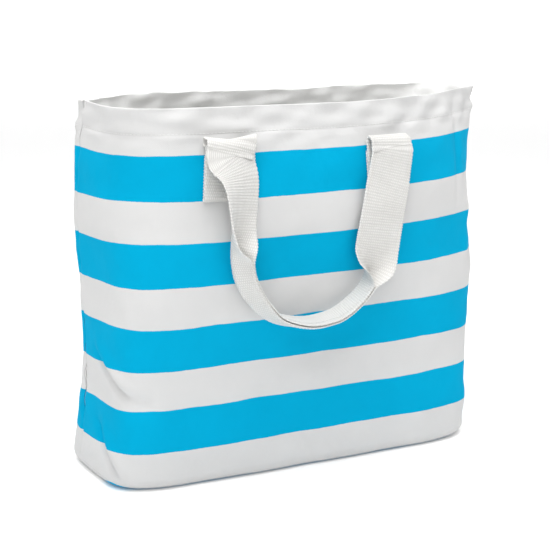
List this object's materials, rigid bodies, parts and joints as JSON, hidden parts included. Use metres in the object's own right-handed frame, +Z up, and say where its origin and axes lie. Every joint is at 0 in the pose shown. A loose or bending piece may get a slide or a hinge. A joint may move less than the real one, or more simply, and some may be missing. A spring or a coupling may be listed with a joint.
{
  "type": "beach bag",
  "caption": "Striped canvas beach bag with a boxed base, a hemmed mouth and two webbing handles whose folded grips swing up to carry it.",
  "frame": {"origin": "on the ground under the bag, on the seam line across the base", "axes": "+X across the bag to the right as seen from the front, -Y out of the front, +Z up"},
  "size_m": [0.4845, 0.3414, 0.362],
  "materials": {
    "canvas": "matt woven cotton, printed with sky-blue stripes",
    "webbing": "natural cotton webbing",
    "thread": "white sewing thread"
  },
  "bodies": {
    "bag": {"front_panel": "canvas", "back_panel": "canvas", "left_side_seam": "canvas", "right_side_seam": "canvas", "left_corner_seam": "canvas", "right_corner_seam": "canvas", "bottom_seam": "canvas", "hem_stitching": "thread", "front_left_box_stitch": "thread", "front_right_box_stitch": "thread", "back_left_box_stitch": "thread", "back_right_box_stitch": "thread", "front_left_handle_end": "webbing", "front_right_handle_end": "webbing", "back_left_handle_end": "webbing", "back_right_handle_end": "webbing"},
    "front_handle": {"front_handle": "webbing", "front_grip_stitching": "thread"},
    "back_handle": {"back_handle": "webbing", "back_grip_stitching": "thread"}
  },
  "joints": [
    {"name": "front_handle_swing", "type": "hinge", "parent": "bag", "child": "front_handle", "pos_m": [-0.0289, -0.12485, 0.33742], "axis": [-0.9963, -0.0859, 0], "range_deg": [0, 180]},
    {"name": "back_handle_swing", "type": "hinge", "parent": "bag", "child": "back_handle", "pos_m": [0.02356, 0.11216, 0.33742], "axis": [0.9939, 0.11, 0], "range_deg": [0, 180]}
  ]
}
